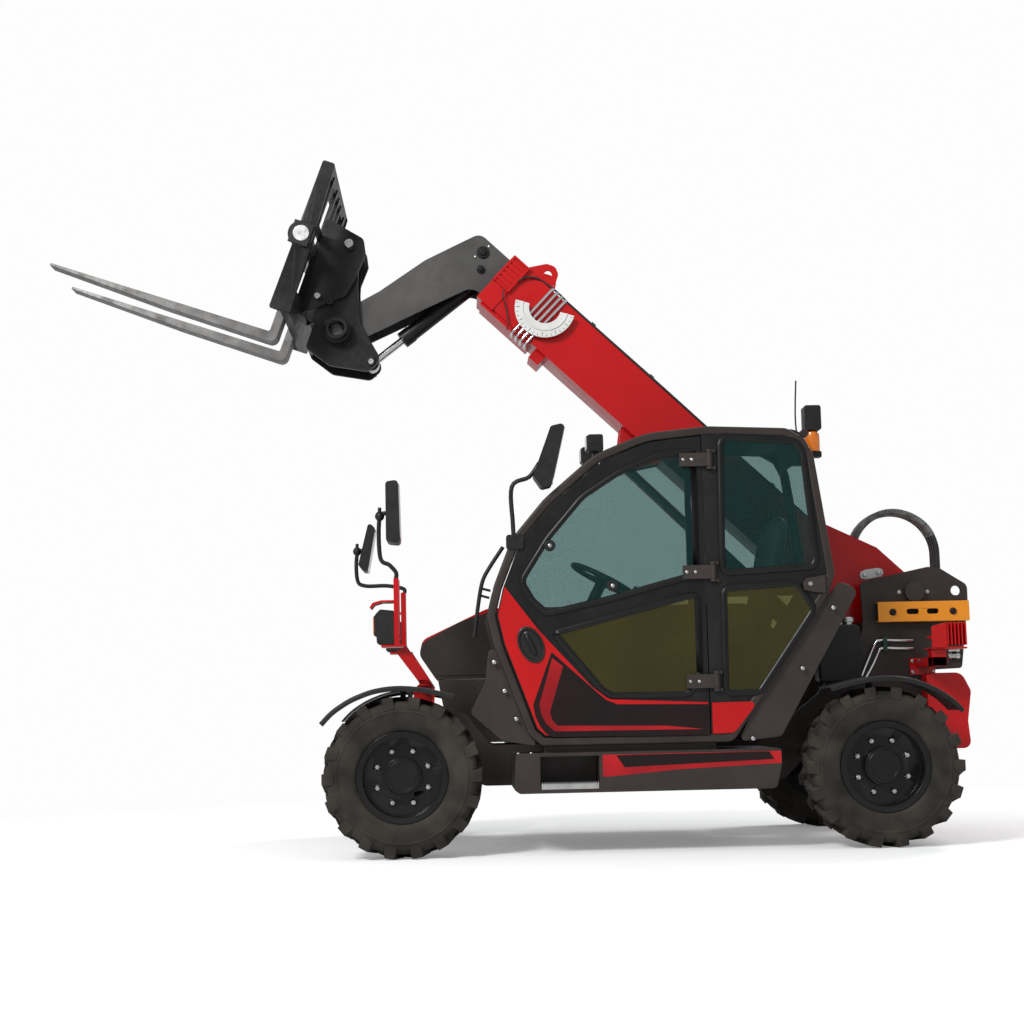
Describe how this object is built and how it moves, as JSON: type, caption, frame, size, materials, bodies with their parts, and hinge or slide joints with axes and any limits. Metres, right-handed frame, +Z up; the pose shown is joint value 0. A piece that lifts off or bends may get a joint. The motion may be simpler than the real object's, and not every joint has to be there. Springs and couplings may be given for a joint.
{
  "type": "telehandler",
  "caption": "Compact telehandler with a raised telescopic boom, tilting fork carriage, hinged cab door and engine hood, steered wheels on both axles",
  "frame": {"origin": "centre of the bounding box, on the ground under the wheels", "axes": "X runs from the forks to the rear, Y to the machine's right, Z up"},
  "size_m": [5.1498, 1.955, 3.8305],
  "materials": {
    "dark_paint": "satin texture",
    "red_paint": "gloss",
    "black_paint": "satin",
    "white_paint": "satin",
    "yellow_paint": "gloss",
    "steel": "worn",
    "aluminium": "plain",
    "chrome": "polished",
    "cast_iron": "plain",
    "tyre": "dusty",
    "hose_rubber": "matte",
    "black_plastic": "matte",
    "glass": "tinted",
    "fabric": "woven"
  },
  "bodies": {
    "chassis": {"chassis_frame": "dark_paint", "counterweight": "red_paint", "axle_front": "black_paint", "axle_rear": "black_paint", "engine_bay": "dark_paint", "engine": "cast_iron", "side_skirt": "dark_paint", "step_tread": "aluminium", "cab_frame": "dark_paint", "cab_floor": "black_plastic", "cab_panel": "red_paint", "cab_roof": "black_plastic", "cab_glass": "glass", "seat": "fabric", "dash": "black_plastic", "steering_wheel": "black_plastic", "front_lamps": "red_paint", "mirrors": "black_plastic", "safety_prop": "yellow_paint", "hose_loop": "hose_rubber", "door_hinges": "dark_paint"},
    "boom": {"boom_outer": "red_paint"},
    "inner_boom": {"boom_inner": "black_paint"},
    "carriage": {"coupler": "black_paint", "carriage": "black_paint", "fork_shaft": "aluminium", "forks": "steel"},
    "lift_barrel": {"lift_barrel": "black_paint"},
    "lift_rod": {"lift_rod": "chrome"},
    "tilt_barrel": {"tilt_barrel": "black_paint"},
    "tilt_rod": {"tilt_rod": "chrome"},
    "door": {"door_frame": "dark_paint", "door_glass": "glass"},
    "hood": {"hood": "red_paint"},
    "knuckle_front_left": {"knuckle_front_left": "black_paint", "fender_front_left": "black_plastic"},
    "wheel_front_left": {"rim_front_left": "black_paint", "tyre_front_left": "tyre"},
    "knuckle_front_right": {"knuckle_front_right": "black_paint", "fender_front_right": "black_plastic"},
    "wheel_front_right": {"rim_front_right": "black_paint", "tyre_front_right": "tyre"},
    "knuckle_rear_left": {"knuckle_rear_left": "black_paint", "fender_rear_left": "black_plastic"},
    "wheel_rear_left": {"rim_rear_left": "black_paint", "tyre_rear_left": "tyre"},
    "knuckle_rear_right": {"knuckle_rear_right": "black_paint", "fender_rear_right": "black_plastic"},
    "wheel_rear_right": {"rim_rear_right": "black_paint", "tyre_rear_right": "tyre"}
  },
  "joints": [
    {"name": "boom_lift", "type": "hinge", "parent": "chassis", "child": "boom", "pos_m": [2.26843, 0, 1.362], "axis": [0, 1, 0], "range_deg": [-44.5, 19.5], "deforming": ["hose_loop"]},
    {"name": "boom_extend", "type": "slide", "parent": "boom", "child": "inner_boom", "axis": [-0.7254, 0, 0.6884], "range_m": [0, 1.9]},
    {"name": "carriage_tilt", "type": "hinge", "parent": "inner_boom", "child": "carriage", "pos_m": [-0.96662, 0, 2.94168], "axis": [0, -1, 0], "range_deg": [-40, 38]},
    {"name": "lift_swing", "type": "hinge", "parent": "chassis", "child": "lift_barrel", "pos_m": [1.99843, 0, 0.85], "axis": [0, 1, 0], "range_deg": [-43.61, 19.11]},
    {"name": "lift_stroke", "type": "slide", "parent": "lift_barrel", "child": "lift_rod", "axis": [-0.7133, 0, 0.7008], "range_m": [-0.43859, 0.19219]},
    {"name": "tilt_swing", "type": "hinge", "parent": "inner_boom", "child": "tilt_barrel", "pos_m": [-0.10718, 0, 3.29239], "axis": [0, 1, 0], "range_deg": [-1.6, 1.52]},
    {"name": "tilt_stroke", "type": "slide", "parent": "tilt_barrel", "child": "tilt_rod", "axis": [-0.791, 0, -0.6118], "range_m": [-0.1444, 0.152]},
    {"name": "door_swing", "type": "hinge", "parent": "chassis", "child": "door", "pos_m": [1.03943, -0.9463, 1.34], "axis": [0, 0, 1], "range_deg": [0, 95]},
    {"name": "hood_lift", "type": "hinge", "parent": "chassis", "child": "hood", "pos_m": [1.54843, 0.56, 0.914], "axis": [0, 1, 0], "range_deg": [0, 50]},
    {"name": "front_left_steer", "type": "hinge", "parent": "chassis", "child": "knuckle_front_left", "pos_m": [-0.60157, -0.65, 0.415], "axis": [0, 0, 1], "range_deg": [-35, 35]},
    {"name": "front_right_steer", "type": "hinge", "parent": "chassis", "child": "knuckle_front_right", "pos_m": [-0.60157, 0.65, 0.415], "axis": [0, 0, 1], "range_deg": [-35, 35]},
    {"name": "rear_left_steer", "type": "hinge", "parent": "chassis", "child": "knuckle_rear_left", "pos_m": [1.90343, -0.65, 0.415], "axis": [0, 0, 1], "range_deg": [-35, 35]},
    {"name": "rear_right_steer", "type": "hinge", "parent": "chassis", "child": "knuckle_rear_right", "pos_m": [1.90343, 0.65, 0.415], "axis": [0, 0, 1], "range_deg": [-35, 35]},
    {"name": "front_left_spin", "type": "hinge", "parent": "knuckle_front_left", "child": "wheel_front_left", "pos_m": [-0.60157, -0.825, 0.415], "axis": [0, 1, 0], "continuous": true},
    {"name": "front_right_spin", "type": "hinge", "parent": "knuckle_front_right", "child": "wheel_front_right", "pos_m": [-0.60157, 0.825, 0.415], "axis": [0, 1, 0], "continuous": true},
    {"name": "rear_left_spin", "type": "hinge", "parent": "knuckle_rear_left", "child": "wheel_rear_left", "pos_m": [1.90343, -0.825, 0.415], "axis": [0, 1, 0], "continuous": true},
    {"name": "rear_right_spin", "type": "hinge", "parent": "knuckle_rear_right", "child": "wheel_rear_right", "pos_m": [1.90343, 0.825, 0.415], "axis": [0, 1, 0], "continuous": true}
  ],
  "couplings": [
    {"joint": "lift_swing", "follows": "boom_lift", "ratio": 0.98},
    {"joint": "lift_stroke", "follows": "boom_lift", "m_per_rad": 0.5647},
    {"joint": "tilt_swing", "follows": "carriage_tilt", "ratio": 0.04},
    {"joint": "tilt_stroke", "follows": "carriage_tilt", "m_per_rad": -0.21772},
    {"joint": "front_right_steer", "follows": "front_left_steer", "ratio": 1},
    {"joint": "rear_right_steer", "follows": "rear_left_steer", "ratio": 1}
  ]
}
